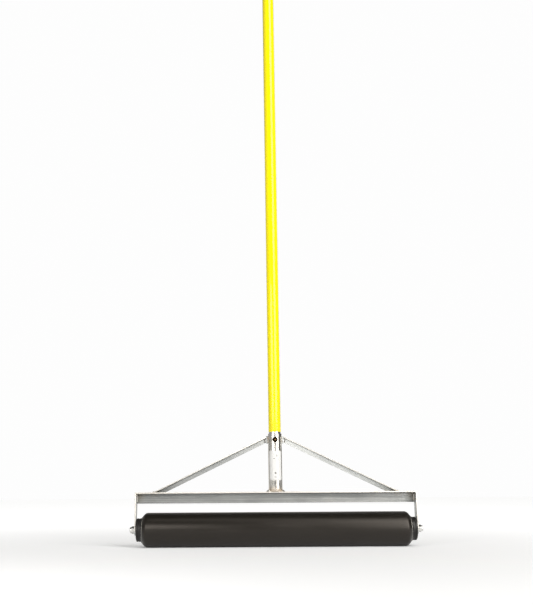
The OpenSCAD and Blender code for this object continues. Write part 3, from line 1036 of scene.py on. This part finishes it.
def handle():
    """The socket, the steel tube in it and the yellow coat round the tube."""
    socket_r, tube_r = (SOCKET_R, SOCKET_R - SOCKET_WALL), (TUBE_R, TUBE_R - TUBE_WALL)
    socket_z, tube_z = (SOCKET_LOW.z, SOCKET_HIGH.z), (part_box("handle_tube")[0].z, HANDLE_TOP_Z)
    socket = tube("handle_socket_tube", *socket_r, *socket_z, SOCKET_HOLE_R, 0.45 * MM)
    stand_for(socket, "handle_socket")
    core = tube("handle_tube_drawn", *tube_r, *tube_z, TUBE_HOLE_R, 0.3 * MM)
    stand_for(core, "handle_tube")
    coat_in_r = TUBE_R + 0.01 * MM
    corners = [
        (coat_in_r, COAT_Z, 0.05 * MM), (COAT_R, COAT_Z, 0.5 * MM),
        (COAT_R, HANDLE_TOP_Z, 0.4 * MM), (coat_in_r, HANDLE_TOP_Z, 0.05 * MM),
    ]
    stand_for(lathe("handle_coat_sleeve", rounded(corners, 6), about_handle, 128), "handle_coat")


def snap_button():
    """A round button with a domed tip and a thin flange at its foot."""
    low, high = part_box("snap_button")
    tip, base = -low.y, -high.y
    stem_r, flange_r = 3 * MM, size("snap_button").x / 2
    corners = [
        (0, base, 0), (flange_r, base, 0.2 * MM), (flange_r, base + 0.5 * MM, 0.2 * MM),
        (stem_r, base + 0.6 * MM, 0.4 * MM), (stem_r, tip - 0.7 * MM, 1.4 * MM), (0, tip, 0),
    ]
    stand_for(lathe("snap_button_dome", rounded(corners, 8), about_latch, 72), "snap_button")


def button_spring():
    """A bent strip: one leg behind the button, a round bend below, one leg against the tube.
    """
    low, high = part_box("button_spring")
    half_w, thickness = size("button_spring").x / 2, 0.8 * MM
    front_y, back_y = -9.3 * MM, high.y - 0.3 * MM
    bend_r, steps = 3.2 * MM, 16
    bend_z, knee_z = low.z + bend_r, LATCH_Z - 6 * MM
    line = [(front_y, high.z), (front_y, knee_z)]
    for k in range(steps + 1):
        a = pi + pi * k / steps
        line.append((bend_r * cos(a), bend_z + bend_r * sin(a)))
    line.append((back_y, knee_z))
    left, right = [], []
    for i, (y, z) in enumerate(line):
        before, after = Vector(line[max(0, i - 1)]), Vector(line[min(len(line) - 1, i + 1)])
        run = (after - before).normalized()
        normal = Vector((-run.y, run.x)) * thickness / 2
        left.append((y + normal.x, z + normal.y))
        right.append((y - normal.x, z - normal.y))
    strip = prism("button_spring_strip", left + right[::-1], along_x, -half_w, half_w)
    break_edges(strip, 0.15 * MM, 1, 50)
    dress(strip, "button_spring")
    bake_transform(strip)


def end_cap():
    """A plug with a domed head and a hang hole through it along X."""
    low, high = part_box("end_cap")
    head_r, plug_r, hole_z = high.x, TUBE_R - TUBE_WALL - SLIP, HANDLE_TOP_Z + 10 * MM
    corners = [
        (0, low.z, 0), (plug_r - 1.5 * MM, low.z, 0.5 * MM), (plug_r, low.z + 3 * MM, 1 * MM),
        (plug_r, HANDLE_TOP_Z, 0), (head_r, HANDLE_TOP_Z, 0.4 * MM),
        (head_r, HANDLE_TOP_Z + 19 * MM, 5 * MM), (head_r * 0.62, high.z, 4 * MM), (0, high.z, 0),
    ]
    cap = lathe("end_cap_moulding", rounded(corners, 8), about_handle, 128)

    def across(r, h, a):
        return Vector((h, r * cos(a), hole_z + r * sin(a)))

    cut(cap, rod_cutter(across, 4 * MM, -2 * head_r, 2 * head_r))
    break_edges(cap, 0.6 * MM, 3, 50)
    stand_for(cap, "end_cap")


# -------- the studio

def studio_floor():
    """A wide floor of pale paper with a glow of its own, so that it meets the white far away.

    The glow is weaker where the softboxes light the paper and fades out under the roller, which paints
    a shadow there.
    """
    rings, segments, reach = 10, 96, 14.0
    vertices, faces = [Vector((0, 0, 0))], []
    for k in range(1, rings + 1):
        for i in range(segments):
            vertices.append(about_handle(reach * (k / rings) ** 2, 0, 2 * pi * i / segments))
    for i in range(segments):
        j = (i + 1) % segments
        faces.append([0, 1 + i, 1 + j])
        for k in range(rings - 1):
            low, up = 1 + k * segments, 1 + (k + 1) * segments
            faces.append([low + i, up + i, up + j, low + j])
    floor = make_object("studio_floor", vertices, faces)
    white = (1, 1, 0.995, 1)
    f = Finish("studio_paper", (0.78, 0.795, 0.82), 0.9, Specular_IOR_Level=0.1, Emission_Color=white)
    lit_middle, lit_reach, lit_share = (0, -0.7, 0), 2.6, 0.655
    full = f.ramp(f.axis("Y"), -0.9, -2.4, 0.815, 0.90)
    lit = f.maths("MULTIPLY", f.near(lit_middle, lit_reach), lit_share)
    across = f.maths("ABSOLUTE", f.axis("Y"))
    beyond = f.maths("SUBTRACT", f.maths("ABSOLUTE", f.axis("X")), COVER_X - 2 * ROLLER_R / 3)
    # Painted shadow: the glow falls to 0.08 under the roller and near it.
    glow_outside_painted_shadow = f.ramp(f.maths("MAXIMUM", across, beyond), 0.0, ROLLER_R * 1.3, 0.08, 1.0)
    glow = f.maths("MULTIPLY", f.maths("SUBTRACT", full, lit), glow_outside_painted_shadow)
    f.link(glow, f.shader.inputs["Emission Strength"])
    f.tint((0.765, 0.78, 0.805), f.noise(2.0, detail=3))
    floor.data.materials.append(f.material)


def room_light():
    """A dim room with a pale wall behind and a little fill from the left; the camera sees white."""
    wall_glow, side_glow, dim_glow, seen_glow = 0.75, 0.22, 0.10, 0.985
    world = bpy.data.worlds.new("studio_room")
    bpy.context.scene.world = world
    world.use_nodes = True
    n = Nodes(world.node_tree, "Generated")
    wall = n.maths("MULTIPLY", n.ramp(n.axis("Y"), 0.70, 0.95), n.ramp(n.axis("Z"), 0.85, 0.55))
    side = n.ramp(n.axis("X"), -0.2, -0.9)
    room = n.maths("ADD", n.maths("MULTIPLY", wall, wall_glow), n.maths("MULTIPLY", side, side_glow))
    room = n.maths("ADD", room, dim_glow)
    background = world.node_tree.nodes["Background"]
    n.link(room, background.inputs["Strength"])
    backdrop = n.node("ShaderNodeBackground")
    n.fill(backdrop, Strength=seen_glow, Color=(1, 1, 1, 1))
    n.fill(background, Color=(1, 0.975, 0.93, 1))
    mix = n.node("ShaderNodeMixShader")
    n.link(n.node("ShaderNodeLightPath").outputs["Is Camera Ray"], mix.inputs["Fac"])
    n.link(background.outputs[0], mix.inputs[1])
    n.link(backdrop.outputs[0], mix.inputs[2])
    n.link(mix.outputs[0], world.node_tree.nodes["World Output"].inputs["Surface"])


def softbox(name, place, target, width, height, glow):
    """A light panel at a place, facing a target, that the camera can't see directly."""
    light = bpy.data.lights.new(name, "AREA")
    light.shape, light.size, light.size_y = "RECTANGLE", width, height
    light.energy = glow * pi * width * height
    light.color = (1, 0.975, 0.935)
    obj = add(name, light)
    obj.location = place
    obj.rotation_euler = (Vector(target) - Vector(place)).to_track_quat("-Z", "Y").to_euler()
    obj.visible_camera = False


def upright_softbox(name, azimuth_deg, distance, width, low_z, high_z, glow):
    """A tall panel beside the camera; azimuth 0 is straight in front and 90 is at the tool's right."""
    turn, middle_z = radians(azimuth_deg), (low_z + high_z) / 2
    place = (distance * sin(turn), -distance * cos(turn), middle_z)
    softbox(name, place, (0, 0, middle_z), width, high_z - low_z, glow)


def camera():
    """Stands low in front of the roller and looks a little up along the handle."""
    place = Vector((-0.071, -1.808, 0.121))
    pitch, yaw, roll = radians(12.55), radians(0.25), radians(0.37)
    data = bpy.data.cameras.new("camera")
    data.sensor_width, data.lens = 36, 45.937
    data.shift_x, data.shift_y = 0.0438, 0.0289
    data.clip_end = 60
    obj = add("camera", data)
    level = Matrix.Rotation(pi / 2, 4, "X")
    turn = Matrix.Rotation(yaw, 4, "Z") @ Matrix.Rotation(pitch, 4, "X") @ Matrix.Rotation(roll, 4, "Y")
    obj.matrix_world = Matrix.Translation(place) @ turn @ level
    bpy.context.scene.camera = obj


camera()
studio_floor()
room_light()
upright_softbox("right_softbox", 36, distance=2.4, width=1.55, low_z=0.2, high_z=4.2, glow=5.7)
upright_softbox("left_softbox", -30, distance=1.3, width=0.75, low_z=0.25, high_z=0.86, glow=4.6)
softbox("strip_overhead", (-0.1, -1.0, 2.75), (0, 0, AXLE_Z), width=1.6, height=0.45, glow=1.8)
bpy.context.scene.view_settings.view_transform = "Standard"

roller_cover()
core_tube()
axle()
crossbar()
arm_welds()
brace_welds()
lock_rings()
socket_weld()
label()
handle()
snap_button()
button_spring()
end_cap()
for side_name, side_sign in SIDES.items():
    end_plug("end_plug_" + side_name, side_sign)
    bush("bush_" + side_name, side_sign)
    thrust_washer("thrust_washer_" + side_name, side_sign)
    lock_nut("lock_nut_" + side_name, side_sign)
    arm("arm_" + side_name, side_sign)
    brace("brace_" + side_name, side_sign)
    brace_tab("brace_tab_" + side_name, side_sign)
